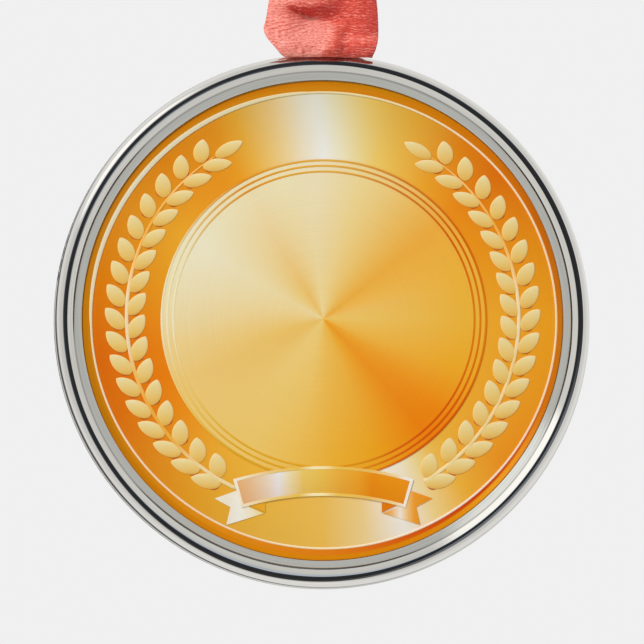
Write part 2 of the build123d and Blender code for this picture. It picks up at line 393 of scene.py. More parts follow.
# ---- materials ----
def ground_material():
    """Conical gold gradient of the flat ground, deeper towards the rim."""
    shader = FaceShader("gold_ground")
    near = shader.cone({
        0: "e5a12a", 25: "e38f17", 40: "e48914", 54: "e5a02a", 66: "e6b951", 72: "e6c465", 78: "e4d191",
        84: "e6ddbb", 90: "e6e5dd", 96: "e6dabf", 102: "e6cd95", 108: "e6be6c", 114: "e4ad42",
        120: "e49922", 126: "e2911b", 135: "e39420", 150: "e3a129", 168: "e0931c", 188: "e17e0f",
        200: "e27a0a", 214: "e48a15", 232: "e4a52f", 250: "e5b03c", 270: "e5b655", 282: "e6c47a",
        291: "ebe2d4", 297: "e6ddc3", 303: "e4cd8a", 309: "e5b54f", 315: "e4ab38", 330: "e5a22c"})
    far = shader.cone({
        0: "e3991c", 20: "dd8813", 40: "d56c08", 52: "d67d10", 60: "d69429", 66: "d79f33", 72: "d7aa46",
        78: "dab85c", 84: "d7c68b", 88: "d7cfaa", 92: "d7d4c6", 96: "d5ceb6", 99: "d7c69f", 102: "d8bd86",
        105: "d5b36f", 109: "d2a852", 114: "d4992a", 120: "d3861a", 135: "d37f11", 150: "d5881b",
        170: "d67907", 190: "d46506", 206: "d56d08", 235: "da9620", 255: "dcab40", 270: "e2b24c",
        281: "e3c78a", 291: "e6dfd5", 300: "e7c77c", 309: "e5a833", 321: "e48d1c"})
    depth = shader.remap(shader.radius, 20.0, 27.4)
    return shader.gold(shader.mix(depth, near, far), 0.45, 0.012)


def disc_material():
    """Spun disc: a conical sheen that is pale at the upper left and deep orange at the lower right."""
    shader = FaceShader("gold_disc")
    near = shader.cone({
        0: "e6be60", 14: "e7bb60", 26: "e9b24e", 38: "e5a93f", 50: "e6b352", 65: "e6c06b", 80: "e7c983",
        97: "e6cf92", 110: "e6c47a", 121: "e6ba64", 132: "e6c374", 152: "e6d095", 166: "e7cd8e",
        180: "e7c67c", 197: "e5bc61", 212: "e5bb63", 232: "e6c574", 256: "e7c36e", 272: "e6b856",
        290: "e6b047", 302: "e6a32f", 314: "e59421", 327: "e7a02d", 340: "e7b249"})
    far = shader.cone({
        0: "e5ae39", 20: "e7ad3a", 40: "e7a73d", 52: "e6b65a", 64: "e6c57a", 76: "e6d090", 92: "e6d8b2",
        108: "e6daaf", 120: "e6d6a9", 133: "e6dab1", 150: "e6dfc0", 166: "e6d9b1", 180: "e5d19d",
        190: "e6c986", 204: "e5c071", 222: "e5c16e", 242: "e6c065", 258: "e6b850", 275: "e6a92f",
        290: "e59f1c", 302: "e58e10", 312: "e57d07", 322: "e7840b", 340: "e7a424"})
    depth = shader.remap(shader.radius, 4.0, 17.0)
    return shader.gold(shader.mix(depth, near, far), 0.4, 0.035)


def line_material():
    """Fine rings: orange that turns red at the lower right and pales out at the left."""
    shader = FaceShader("orange_line")
    colour = shader.cone({
        0: "d87b12", 30: "cd6005", 60: "cc7a24", 88: "dca844", 105: "dba039", 120: "d48a22",
        140: "dbb268", 160: "e3d6a4", 182: "e8dcb4", 200: "e6c67a", 215: "e3bb55", 235: "dca629",
        262: "dc9f1f", 285: "d88a12", 298: "d4650a", 312: "cf5200", 328: "d25a02", 343: "d67208"})
    return shader.gold(colour)


def band_material():
    """Deep gold band at the edge of the face, with a red line inside it at the lower right."""
    shader = FaceShader("gold_band")
    outer = shader.cone({
        0: "c7700f", 25: "c26306", 50: "cd7205", 75: "c37d05", 95: "c67705", 130: "c77808", 150: "bf7812",
        175: "bf7808", 205: "b87302", 230: "cd7a02", 255: "d98302", 285: "d98402", 302: "e08a05",
        316: "f2a01c", 326: "f0941f", 338: "d2720a"})
    inner = shader.cone({
        0: "d8780b", 25: "d06806", 60: "cd7a08", 95: "cb8010", 150: "c87c0c", 205: "c57a05",
        240: "da8a10", 272: "de7a12", 290: "d65a0a", 312: "c53a04", 334: "c94508", 348: "d26a0a"})
    depth = shader.remap(shader.radius, 28.45, 28.8, smooth=True)
    return shader.gold(shader.mix(depth, inner, outer))


def border_material():
    """Pale gold ring."""
    shader = FaceShader("pale_border")
    colour = shader.cone({
        0: "efd0a2", 50: "efd0aa", 80: "e6d49c", 110: "dccfa4", 145: "dcd2b4", 180: "e3d0a8",
        210: "efcfaa", 240: "eecba6", 270: "f0dcae", 300: "f0dccb", 330: "f0cfae"})
    return shader.gold(colour, 0.36, 0.02)


def banner_material():
    """Gold that runs across the banner: peach, a white sheen at the left, then gold into orange."""
    shader = FaceShader("banner_gold")
    colour = shader.ramp(shader.remap(shader.x, -10.5, 10.5), {
        0.0: "e3b074", 0.08: "e4be90", 0.17: "e4d2b8", 0.24: "e4e1e0", 0.3: "e5d6aa", 0.38: "e4c263",
        0.47: "e4bd52", 0.6: "e5a93a", 0.7: "e69f26", 0.78: "e48a10", 0.88: "e6920f", 1.0: "e8931a"})
    low_down = shader.remap(shader.z, -23.2, -18.5, 0.35, 0.0)
    deep = shader.mix(low_down, colour, "d98a1c", "MULTIPLY")
    return shader.gold(deep)


def banner_edge_material():
    """Pale edge of the banner, brightest at its ends and in the middle."""
    shader = FaceShader("banner_edge")
    colour = shader.ramp(shader.remap(shader.x, -10.95, 10.95), {
        0.0: "f0e6d6", 0.05: "ecdcba", 0.2: "e6c680", 0.36: "e4ba4a", 0.44: "f0e2b0", 0.5: "f0e0a6",
        0.58: "e6bd4e", 0.75: "e6b85a", 0.9: "ebcf98", 0.95: "ece2d2", 1.0: "ebe6dc"})
    return shader.gold(colour, 0.36, 0.015)


def tail_material(name, stops):
    """A banner tail or fold, coloured across its width in mm from the medal's axis."""
    shader = FaceShader(name)
    return shader.gold(shader.ramp(shader.x, stops))


def leaf_material():
    """Satin gold leaf: pale at its upper end, gold at its lower end, with a warm thin edge."""
    shader = FaceShader("leaf_gold")
    upwards, outwards, _ = shader.stored("leaf")
    mottle = shader.math("MULTIPLY", shader.noise(shader.place(), 900.0), 0.16)
    rise = shader.math("ADD", upwards, shader.math("SUBTRACT", mottle, 0.08))
    body = shader.ramp(rise, {
        0: "e0ac4a", 0.25: "e2bb66", 0.5: "e2c47a", 0.75: "e3cc8c", 1: "e6d5a2"})
    edge = shader.remap(outwards, 0.84, 1.0, 0.0, 0.6, smooth=True)
    return shader.gold(shader.mix(edge, body, "f0bc62"), 0.38, 0.01)


def stem_material():
    """Stem of a laurel branch, in turns pale and orange along its length; the right one ends pale."""
    shader = FaceShader("stem_gold")
    colour = shader.ramp(shader.remap(shader.z, -21.5, 20.5), {
        0.0: "e6d2a0", 0.08: "e8cf98", 0.16: "e6a93e", 0.26: "e8a540", 0.36: "e9b964", 0.45: "e6d2a8",
        0.58: "ecd3a4", 0.68: "f0bc6a", 0.8: "eaa83e", 0.9: "f2c070", 1.0: "eda840"})
    right, low_down = shader.remap(shader.x, -1.0, 1.0), shader.remap(shader.z, -4.0, -8.0, 0.0, 0.8)
    return shader.gold(shader.mix(shader.math("MULTIPLY", right, low_down), colour, "ebd49a"))


def shadow_material():
    """Painted shadow: red-brown colour of the thin marks under a leaf's foot."""
    shader = Shader("painted_leaf_shadow")
    tone = shader.noise(shader.place(), 700.0)
    return shader.finish(Base_Color=shader.mix(tone, "b03a06", "cf6a10"), Roughness=0.6)


def chrome_material(name, worn=1.0, roughness=0.05, tints=None):
    """Polished silver plate with streaks and hairline scratches that run round the frame.

    tints: plate colour by distance in mm from the medal's axis."""
    shader = FaceShader(name)
    hairline = shader.marks(shader.radius, shader.turn, 22.0, 26.0, 5.0)
    streak = shader.marks(shader.radius, shader.turn, 6.5, 9.0, 3.0)
    patch = shader.remap(shader.noise(shader.place(), 160.0, 2.0), 0.45, 0.7, smooth=True)
    speck = shader.remap(shader.noise(shader.place(), 2600.0, 2.0), 0.66, 0.74, 0.0, 0.5)
    fine = shader.math("MULTIPLY", shader.remap(hairline, 0.55, 0.8), patch)
    rough = shader.math("ADD", shader.remap(fine, 0.0, 1.0, roughness, roughness + 0.16 * worn),
                        shader.remap(speck, 0.0, 1.0, 0.0, 0.3))
    plate_colour = shader.ramp(shader.radius, tints) if tints else "e9e8e3"
    shade = shader.grey(shader.remap(streak, 0.3, 0.7, 1 - 0.16 * worn, 1.0 + 0.04 * worn))
    lumps = shader.bump(streak, 0.012 * MM, 0.8 * worn)
    return shader.finish(Base_Color=shader.mix(1.0, plate_colour, shade, "MULTIPLY"), Metallic=1.0,
                         Roughness=rough, Normal=shader.bump(hairline, 0.004 * MM, 0.6 * worn, lumps))


# Plate colour of the frame ring: greyer on the cone, darker at the ridge, and darker with a blue cast on the
# crown.
FRAME_TINTS = {
    29.3: "d8d8d2", 30.1: "d6d6d0", 30.15: "bcb9b2", 30.3: "bcb9b2", 30.36: "f1efe8",
    30.9: "efede4", 30.96: "d3dae4", 31.45: "d3dae4", 31.55: "f3f0ea", 32.5: "f5f3ee",
}


def back_material():
    """Brushed plate on the back, grained straight across."""
    shader = Shader("brushed_back")
    stretched = {"Vector": shader.place(), "Scale": (60, 1, 9000)}
    grain = shader.noise(shader.node("ShaderNodeMapping", stretched).outputs[0], 1.0, 6.0, 0.7)
    broad = shader.noise(shader.place(), 90.0, 2.0)
    rough = shader.remap(broad, 0.3, 0.7, 0.26, 0.38)
    return shader.finish(Base_Color=shader.mix(grain, "b4b4b1", "d6d6d2"), Metallic=1.0, Roughness=rough,
                         Normal=shader.bump(grain, 0.008 * MM, 0.5))


def pad_material():
    """Uncoated card."""
    shader = Shader("card_pad")
    fibre = shader.noise(shader.place(), 1500.0, 5.0)
    return shader.finish(Base_Color=shader.mix(fibre, "cbbfa6", "ddd3bd"), Roughness=0.9,
                         Normal=shader.bump(fibre, 0.02 * MM, 0.4))


def ribbon_material():
    """Coral satin with a fine crepe of short ribs, with painted light: paler on the upper left slope of each
    fold, darker on slopes turned away, and painted glints on the highest crepe.
    """
    shader = Shader("satin_ribbon")
    across, along, painted_light = shader.stored("strip")

    def cloth_marks(per_mm_across, per_mm_along, detail):
        return shader.marks(across, along, per_mm_across, per_mm_along, detail, 0.62)

    rib_step = 0.36
    drift = cloth_marks(0.45, 0.6, 3.0)
    phase = shader.math("ADD", shader.math("MULTIPLY", along, 2 * math.pi / rib_step),
                        shader.math("MULTIPLY", drift, 24.0))
    rib = shader.math("MULTIPLY_ADD", shader.math("SINE", phase), 0.5, 0.5)
    rib_depth = shader.remap(cloth_marks(0.9, 1.3, 2.0), 0.35, 0.65, 0.05, 0.5)
    crepe = cloth_marks(2.5, 7.6, 4.0)
    height = shader.math("ADD", shader.math("MULTIPLY", rib, rib_depth), shader.math("MULTIPLY", crepe, 1.5))
    # Painted light and shade on the ribs: the colour follows their height, paler on the crests and darker in
    # the hollows, with a random drift in tone.
    tone = shader.math("MULTIPLY_ADD", height, 0.55, shader.math("MULTIPLY", drift, 0.2))
    body = shader.ramp(tone, {0.36: "a82f20", 0.5: "d04634", 0.64: "e66352", 0.82: "fa9a8c"})
    # Painted shade on fold slopes turned away from the light, and a painted highlight on slopes turned
    # towards it.
    painted_shade = shader.remap(painted_light, -0.05, -0.75, 0.0, 0.7)
    painted_light_amount = shader.remap(painted_light, 0.0, 0.6, 0.0, 0.75)
    painted_highlight = shader.math("MULTIPLY", painted_light_amount, shader.remap(crepe, 0.28, 0.68))
    # Painted glints: the highest crepe is coloured pale pink.
    painted_glints = shader.remap(height, 1.0, 1.5, 0.0, 0.32, smooth=True)
    shaded = shader.mix(painted_highlight, shader.mix(painted_shade, body, "d0402c", "MULTIPLY"), "ffbaac")
    return shader.finish(Base_Color=shader.mix(painted_glints, shaded, "ffb8aa"), Specular_IOR_Level=0.5,
                         Roughness=shader.remap(crepe, 0.3, 0.7, 0.34, 0.5), Sheen_Weight=0.3,
                         Sheen_Roughness=0.4, Sheen_Tint=(1.0, 0.72, 0.68, 1.0),
                         Normal=shader.bump(height, 0.09 * MM, 0.9))


def thread_material():
    """Twisted sewing thread in the ribbon's colour."""
    shader = Shader("thread")
    wave = {"Vector": shader.place(), "Scale": 1800.0, "Distortion": 1.5}
    twist = shader.node("ShaderNodeTexWave", wave, bands_direction="DIAGONAL").outputs["Fac"]
    return shader.finish(Base_Color=shader.mix(twist, "b83526", "e06352"), Roughness=0.6,
                         Normal=shader.bump(twist, 0.02 * MM, 0.6))


# ---- frame ring ----
def degrees_off(angle, centre):
    """Degrees from a centre in degrees to an angle in radians, the shorter way round."""
    return (math.degrees(angle) - centre + 180) % 360 - 180


def crown_wander(angle, radius):
    """The crown was rolled by hand: it strays outwards at the bottom of the ring, and inwards elsewhere.

    On the right its flat top is wider on the outer side."""
    crown, outer_reach, inner_reach, flat_edge = 31.2, 0.9, 0.55, 31.45
    place = radius / MM
    stray = 0.42 * bell(math.degrees(angle), 258, 30) + 0.08 * math.cos(angle - 2.1) ** 2 - 0.05
    reach = (place - crown) / (outer_reach if place > crown else inner_reach)
    wider = 0.14 * bell(degrees_off(angle, 13), 0, 46) * bell(place, flat_edge, 0.15)
    return (stray * max(0.0, 1 - reach * reach) ** 1.5 + wider) * MM


RIDGE_ARCS = ((12.0, 34.0), (-102.0, 33.0), (160.0, 22.0))      # centre and half length in degrees


def ridge_left(angle):
    """How much of the ridge is left at this angle: full within its arcs, and worn down between them."""
    return max(math.exp(-(degrees_off(angle, centre) / half) ** 6) for centre, half in RIDGE_ARCS)


def frame_ring():
    """The polished ring: rolled bead, crown, inner slope, ridge, cone and the rabbet behind the face."""
    crown, half = RIM_R - 1.28 * MM, 0.28 * MM
    ridge, ridge_half, ridge_height = RIM_R - 2.3 * MM, 0.1 * MM, 0.08 * MM
    lip, seat, rear_edge = RIM_R - 3.2 * MM, SEAT_R + 0.02 * MM, 0.15 * MM
    shoulder = FRONT_Y + 0.04 * MM
    ridge_y = FRONT_Y + 0.65 * MM
    cone_y = FRONT_Y + 1.2 * MM
    bead_r, bead_turn = 1.566 * MM, math.radians(68.8)
    outer = [(RIM_R, FACE_Y)]
    for step in range(1, 13):
        swing = bead_turn * step / 12
        outer.append((RIM_R - bead_r + bead_r * math.cos(swing), FACE_Y - bead_r * math.sin(swing)))
    brow = FRONT_Y + 0.01 * MM
    sharp = outer + [
        (crown + 0.5 * half, brow), (crown, FRONT_Y), (crown - 0.5 * half, brow), (crown - half, shoulder),
        (ridge + ridge_half, ridge_y),
    ]
    for step in range(1, 6):
        swing = math.pi * step / 6
        sharp.append((ridge + ridge_half * math.cos(swing), ridge_y - ridge_height * math.sin(swing)))
    sharp += [
        (ridge - ridge_half, ridge_y), (lip, cone_y), (lip, FACE_Y),
        (seat, FACE_Y), (seat, bezel_high.y),
        (RIM_R - rear_edge, bezel_high.y), (RIM_R, bezel_high.y - rear_edge),
    ]

    def wear(angle, radius, y):
        """Where the ridge is worn down, the slope runs on into the cone."""
        if abs(radius - ridge) > ridge_half + 0.04 * MM or y > ridge_y + 0.05 * MM:
            return 0.0
        return (1 - ridge_left(angle)) * (ridge_y + 0.7 * (ridge - radius) - y)

    ring = lathe("frame_ring", round_corners(sharp, 0.035 * MM, 3), 480, shift=crown_wander, sink=wear)
    chrome = chrome_material("polished_frame", tints=FRAME_TINTS)
    finish_piece(ring, chrome, replaces=["bezel"])


# ---- gold face ----
def face_ground():
    """The flat ground of the face, a thin turned plate with a soft edge."""
    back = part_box("face_plate")[1].y
    sharp = [(0, FACE_Y), (SEAT_R, FACE_Y), (SEAT_R, back), (0, back)]
    profile = round_corners(sharp, 0.08 * MM, 3, closed=False)
    steps = [(r, FACE_Y) for r in np.linspace(0.5 * MM, SEAT_R - 0.3 * MM, 24)]
    ground = disc("face_ground", [profile[0]] + steps + profile[1:])
    finish_piece(ground, ground_material(), replaces=["face_plate"])


def border_radius(angle):
    """Inner radius of the pale ring, which is drawn slightly oval and off centre."""
    return (27.94 + 0.26 * math.cos(2 * angle) + 0.15 * math.cos(angle)) * MM


def border_width(angle):
    """The pale ring is thin, and about twice as wide at the upper left."""
    swell = max(0.0, math.cos(angle - math.radians(138)) - 0.72) / 0.28
    return (0.28 + 0.36 * swell ** 0.6) * MM


def rim_band():
    """Shallow raised band between the pale ring and the frame's lip."""
    low, high = 28.3 * MM, 29.25 * MM
    top = FACE_Y - 0.08 * MM

    def shift(angle, radius):
        return (border_radius(angle) + 0.14 * MM - low) * (high - radius) / (high - low)

    profile = round_corners([(low, FACE_Y), (low, top), (high, top), (high, FACE_Y)], 0.03 * MM, 3)
    band = lathe("gold_rim_band", profile, shift=shift)
    finish_piece(band, band_material(), replaces=["rim_band"])


def border_ring():
    """Thin crowned ring."""
    width = 0.28 * MM
    top = FACE_Y - 0.12 * MM

    def shift(angle, radius):
        return border_radius(angle) + radius * border_width(angle) / width - radius

    crown = 0.05 * MM
    profile = [(0, FACE_Y), (0, top + crown)]
    for step in range(1, 8):
        t = step / 8
        profile.append((t * width, top + crown * (2 * t - 1) ** 2))
    profile += [(width, top + crown), (width, FACE_Y)]
    ring = lathe("pale_border_ring", profile, shift=shift)
    finish_piece(ring, border_material(), replaces=["border_ring"])


DISC_TOP = FACE_Y - 0.07 * MM
DISC_EDGE = 19.68


def disc_stretch(angle):
    """The disc and its fine rings are drawn slightly oval and off centre."""
    return 1 + (0.17 * math.cos(2 * angle) + 0.1 * math.cos(angle)) / DISC_EDGE


def spun_disc():
    """The large disc, very slightly dished, with a rounded edge."""
    edge, flat, dish = DISC_EDGE * MM, (DISC_EDGE - 2.0) * MM, 0.03 * MM
    front = [(0, DISC_TOP + dish)]
    for radius in np.linspace(0.6 * MM, flat, 30):
        front.append((radius, DISC_TOP + dish * (1 - (radius / flat) ** 2)))
    front.append((edge - 1.0 * MM, DISC_TOP))
    corner = [(edge - 0.5 * MM, DISC_TOP), (edge, DISC_TOP), (edge, FACE_Y), (edge - 0.5 * MM, FACE_Y)]
    corner = round_corners(corner, 0.03 * MM, 4, closed=False)
    made = disc("spun_disc", front + [tuple(p) for p in corner] + [(0, FACE_Y)], stretch=disc_stretch)
    finish_piece(made, disc_material(), replaces=["centre_disc"])


def ring_lines(material):
    """Three fine half-round rings near the disc's edge."""
    base = DISC_TOP + 0.01 * MM
    half, height = 0.14 * MM, 0.045 * MM

    def shift(angle, radius):
        return radius * (disc_stretch(angle) - 1)

    swings = np.linspace(0, math.pi, 9)
    for name, radius in (("outer", 19.58), ("middle", 18.9), ("inner", 18.19)):
        arc = [(radius * MM + half * math.cos(t), base - height * math.sin(t)) for t in swings]
        foot = [(radius * MM - half, FACE_Y), (radius * MM + half, FACE_Y)]
        ring = lathe(f"fine_ring_{name}", arc + foot, shift=shift)
        finish_piece(ring, material, replaces=[f"ring_line_{name}"])


# ---- laurel ----
STEM_R, STEM_CENTRE = 23.1, (-0.79, 0.35)
STEM_START, STEM_END = 122.5, {-1: 245.0, 1: 240.5}
STEM_HALF = 0.23
LEAF_FIRST = 127.5
# Outer and inner row: side of the stem, count, span along the stem, offset from it, then lean, length and
# width at the first and the last leaf, and the power that the lean changes with.
LEAF_ROWS = (
    (1, 17, 112.9, 0.4, (45.0, 17.0), (2.95, 3.75), (2.0, 1.8), 2),
    (-1, 16, 111.6, 0.2, (-29.0, -48.0), (3.6, 3.05), (1.6, 2.1), 1),
)


def stem_point(angle, side, offset=0.0):
    """Point on a branch's stem in mm from the face centre; side is -1 on the left and +1 on the right."""
    radius = STEM_R + offset
    x = STEM_CENTRE[0] + radius * np.cos(np.radians(angle))
    return -side * x, STEM_CENTRE[1] + radius * np.sin(np.radians(angle))


def between(ends, along):
    """Value part of the way along from the first of two ends to the second."""
    return ends[0] + along * (ends[1] - ends[0])


def leaf_places(side):
    """Foot, direction, length and width of every leaf of a branch."""
    places = []
    for row, count, span, offset, lean, length, width, power in LEAF_ROWS:
        for index in range(count):
            along = index / (count - 1)
            angle = LEAF_FIRST + along * span + math.sin(2 * math.pi * along)
            foot = stem_point(angle, side, row * offset)
            turn = angle - 90 + between(lean, along ** power)
            places.append((foot, turn, between(length, along), between(width, along)))
    places.append((stem_point(STEM_START, side), STEM_START - 93, 3.8, 1.6))
    return [(foot, 180 - turn if side > 0 else turn, length, width) for foot, turn, length, width in places]


def leaf_half_width(t):
    """Half width of a leaf along its length, as a share of its greatest: a round foot and a pointed tip."""
    return 2.15 * t ** 0.52 * (1 - t) ** 0.8 * (1 + 0.3 * t)


def along_leaf(foot, turn, lengthwise, sideways):
    """Place on the face, in mm, of a point given along and across a leaf."""
    c, s = math.cos(math.radians(turn)), math.sin(math.radians(turn))
    return foot[0] + lengthwise * c - sideways * s, foot[1] + lengthwise * s + sideways * c


def on_face(x, z, y):
    """Points in metres from places on the face in mm and their y in metres."""
    return np.stack([x * MM, y + 0 * x, CENTRE_Z + z * MM], axis=-1)


def laurel_leaves(side, side_name, material):
    """All the leaves of a branch as one piece: crowned pointed ovals that stand on the ground."""
    height, edge_height = 0.14 * MM, 0.04 * MM
    t = (0.5 - 0.5 * np.cos(np.linspace(0, math.pi, 17)))[:, None]
    v = np.sin(np.linspace(-math.pi / 2, math.pi / 2, 11))[None, :]
    half = leaf_half_width(t)
    crown = np.sqrt(np.clip(1 - v ** 2, 0, 1)) * np.sqrt(np.clip(half, 0, 1))
    top_y = FACE_Y - edge_height * (half > 0.01) - (height - edge_height) * crown
    outwards = np.maximum(np.abs(v), 2 * np.abs(t - 0.5))
    leaves, facts = [], []
    for foot, turn, length, width in leaf_places(side):
        x, z = along_leaf(foot, turn, t * length + 0 * v, 0.5 * width * half * v)
        leaves.append(grid_solid(on_face(x, z, top_y), on_face(x, z, FACE_Y + SUNK)))
        upwards = (z - z.min()) / (z.max() - z.min())
        facts += [np.stack([upwards, outwards, 0 * x], axis=-1).reshape(-1, 3)] * 2
    stored = ("leaf", np.concatenate(facts))
    obj = make_solid(f"laurel_leaves_{side_name}", *joined(leaves), SAME_POINT, stored)
    finish_piece(obj, material, replaces=[f"laurel_{side_name}_leaves"])


def laurel_stem(side, side_name, material):
    """Half-round stem that tapers to its tip."""
    angle = np.linspace(STEM_START, STEM_END[side], 120)[:, None]
    across = np.linspace(-1, 1, 9)[None, :]
    taper = 0.35 + 0.65 * np.minimum(1.0, (angle - STEM_START) / 45)
    x, z = stem_point(angle, side, STEM_HALF * taper * across)
    lift = (0.03 + 0.09 * np.sqrt(1 - across * across)) * MM * (0.6 + 0.4 * taper)
    verts, faces = grid_solid(on_face(x, z, FACE_Y - lift), on_face(x, z, FACE_Y + SUNK))
    obj = make_solid(f"laurel_stem_{side_name}", verts, faces)
    finish_piece(obj, material, replaces=[f"laurel_{side_name}_stem"])


def painted_leaf_shadows(side, side_name, material):
    """Painted shadow: thin dark crescents laid into the ground just below the foot of each leaf, on its lower
    side.
    """
    t = np.linspace(0.0, 0.3, 9)[:, None]
    share = np.linspace(-0.4, 1.0, 3)[None, :]
    thick = 0.16 * np.sin(np.linspace(0.15, math.pi, 9))[:, None]
    shadow_marks = []
    for foot, turn, length, width in leaf_places(side)[:-1]:
        # The painted shadow goes on the side of the leaf that faces down.
        below = -1 if math.cos(math.radians(turn)) > 0 else 1
        sideways = below * (0.5 * width * leaf_half_width(t) + share * thick)
        x, z = along_leaf(foot, turn, t * length + 0 * share, sideways)
        shadow_marks.append(grid_solid(on_face(x, z, FACE_Y - 0.025 * MM), on_face(x, z, FACE_Y + 0.015 * MM)))
    obj = make_solid(f"painted_leaf_shadows_{side_name}", *joined(shadow_marks), SAME_POINT)
    finish_piece(obj, material)


# ---- banner ----
BANNER_CENTRE, BANNER_R, BANNER_HALF, BANNER_LINE = -56.4, (34.9, 38.5), 16.5, 0.37
TAIL = [(-13.2, -21.8), (-10.5, -20.85), (-8.9, -22.9), (-7.2, -23.6), (-11.75, -25.0), (-11.25, -22.85)]
FOLD = [(-8.95, -22.6), (-7.05, -22.3), (-7.05, -23.5)]


def sector(inset, steps=40):
    """Outline of the banner in mm, drawn in from its edge by inset."""
    half = math.radians(BANNER_HALF) - inset / sum(BANNER_R) * 2
    turns = np.linspace(-half, half, steps)
    low, high = BANNER_R[0] + inset, BANNER_R[1] - inset
    upper = [(high * math.sin(a), BANNER_CENTRE + high * math.cos(a)) for a in turns]
    lower = [(low * math.sin(a), BANNER_CENTRE + low * math.cos(a)) for a in turns[::-1]]
    return upper + lower


def banner():
    """Panel, raised pale edge, swallow tails and the shaded folds behind them."""
    base = FACE_Y + 0.02 * MM
    panel = plate("banner_face", sector(BANNER_LINE - 0.02), base, 0.16 * MM, 0.02 * MM)
    finish_piece(panel, banner_material(), replaces=["banner_panel"])
    edge = plate("banner_rim", sector(0), base, 0.2 * MM, 0.04 * MM, hole=sector(BANNER_LINE))
    finish_piece(edge, banner_edge_material(), replaces=["banner_border"])
    tails = {
        -1: {-13.2: "e6dfc8", -11.6: "e6dcc4", -10.2: "e9e4d8", -8.6: "e8dcb8", -7.2: "e6c878"},
        1: {7.2: "e2901c", 8.2: "e6ac5c", 9.3: "eaddcb", 10.2: "e8b870", 11.0: "e6962c",
            13.2: "e2860f"},
    }
    folds = {
        -1: {-8.95: "dc9f2a", -8.0: "dea024", -7.05: "e0a62c"},
        1: {7.05: "d8780c", 8.0: "dc7404", 8.95: "e08414"},
    }
    for side, side_name in ((-1, "left"), (1, "right")):
        tail = plate(f"tail_{side_name}", [(-side * x, z) for x, z in TAIL], base, 0.1 * MM, 0.02 * MM)
        finish_piece(tail, tail_material(f"tail_{side_name}_gold", tails[side]),
                     replaces=[f"banner_tail_{side_name}"])
        fold = plate(f"fold_{side_name}", [(-side * x, z) for x, z in FOLD], base, 0.12 * MM, 0.02 * MM)
        finish_piece(fold, tail_material(f"fold_{side_name}_gold", folds[side]),
                     replaces=[f"banner_fold_{side_name}"])


# ---- ribbon ----
# Route of the ribbon seen from the side, in mm from the bail's bar: y, height, half width at the left and
# at the right. It starts as the outer layer of the lap on the rear strand, goes down and round the bar,
# hangs over the front of the rim, climbs over the peg and ends inside the lap.
RIBBON_ROUTE = [
    (2.75, 25.0, 7.9, 7.9), (2.45, 19.0, 7.8, 7.8), (2.05, 13.0, 7.4, 7.5), (1.75, 8.0, 6.7, 6.8),
    (1.65, 4.5, 6.0, 6.0), (1.7, 2.2, 4.9, 4.9), (1.5, 0.5, 3.7, 3.7), (0.95, -0.5, 3.4, 3.4),
    (0.1, -0.85, 3.4, 3.4), (-0.8, -0.88, 3.4, 3.5), (-1.8, -0.92, 3.8, 4.4), (-2.7, -1.08, 4.4, 5.2),
    (-3.3, -1.6, 4.7, 5.7), (-3.75, -2.05, 4.85, 5.85), (-4.15, -1.75, 5.3, 6.0), (-4.35, -1.0, 6.0, 6.3),
    (-4.35, 0.2, 6.95, 6.6), (-4.2, 1.3, 7.35, 6.65), (-3.95, 2.4, 7.1, 6.65), (-3.6, 4.0, 6.85, 6.6),
    (-3.3, 6.0, 6.6, 6.45), (-3.05, 9.0, 6.9, 6.7), (-2.9, 13.0, 7.4, 7.4), (-3.0, 21.0, 7.9, 7.9),
    (-3.4, 32.0, 8.0, 8.0), (-3.8, 44.0, 8.0, 8.0), (-4.15, 54.0, 8.0, 8.0), (-4.2, 58.5, 8.0, 8.0),
    (-2.95, 61.4, 8.0, 8.0), (0.0, 62.6, 8.0, 8.0), (2.95, 61.4, 8.0, 8.0), (4.2, 58.5, 8.0, 8.0),
    (4.1, 54.0, 8.0, 8.0), (3.6, 42.0, 8.0, 8.0), (2.9, 31.0, 8.0, 8.0), (2.3, 23.0, 7.9, 7.9),
    (1.95, 18.0, 7.8, 7.8), (1.7, 13.5, 7.6, 7.6),
]
RIBBON_THICK = 0.24 * MM


def smooth_line(points, per_span):
    """Smooth curve through every point, with tangents set by the neighbours and the gaps between them."""
    p = np.array(points, float)
    gap = np.linalg.norm(np.diff(p[:, :2], axis=0), axis=1)[:, None]
    slope = np.diff(p, axis=0) / gap
    inner = (slope[:-1] * gap[1:] + slope[1:] * gap[:-1]) / (gap[1:] + gap[:-1])
    tangent = np.vstack([slope[:1], inner, slope[-1:]])
    out = []
    for i in range(len(p) - 1):
        for u in np.linspace(0, 1, per_span, endpoint=False):
            a, b = 2 * u ** 3 - 3 * u ** 2 + 1, u ** 3 - 2 * u ** 2 + u
            c, d = 3 * u ** 2 - 2 * u ** 3, u ** 3 - u ** 2
            out.append(a * p[i] + b * gap[i] * tangent[i] + c * p[i + 1] + d * gap[i] * tangent[i + 1])
    return np.array(out + [p[-1]])


def resample(line, fine, coarse, fine_below):
    """The line with even steps of its length, fine near the bail and coarse above fine_below."""
    run = np.concatenate([[0], np.cumsum(np.linalg.norm(np.diff(line[:, :2], axis=0), axis=1))])
    at = [0.0]
    while at[-1] < run[-1]:
        height = np.interp(at[-1], run, line[:, 1])
        at.append(at[-1] + (fine if height < fine_below else coarse))
    at = np.array(at[:-1] + [run[-1]])
    return np.stack([np.interp(at, run, line[:, k]) for k in range(line.shape[1])], axis=1), at


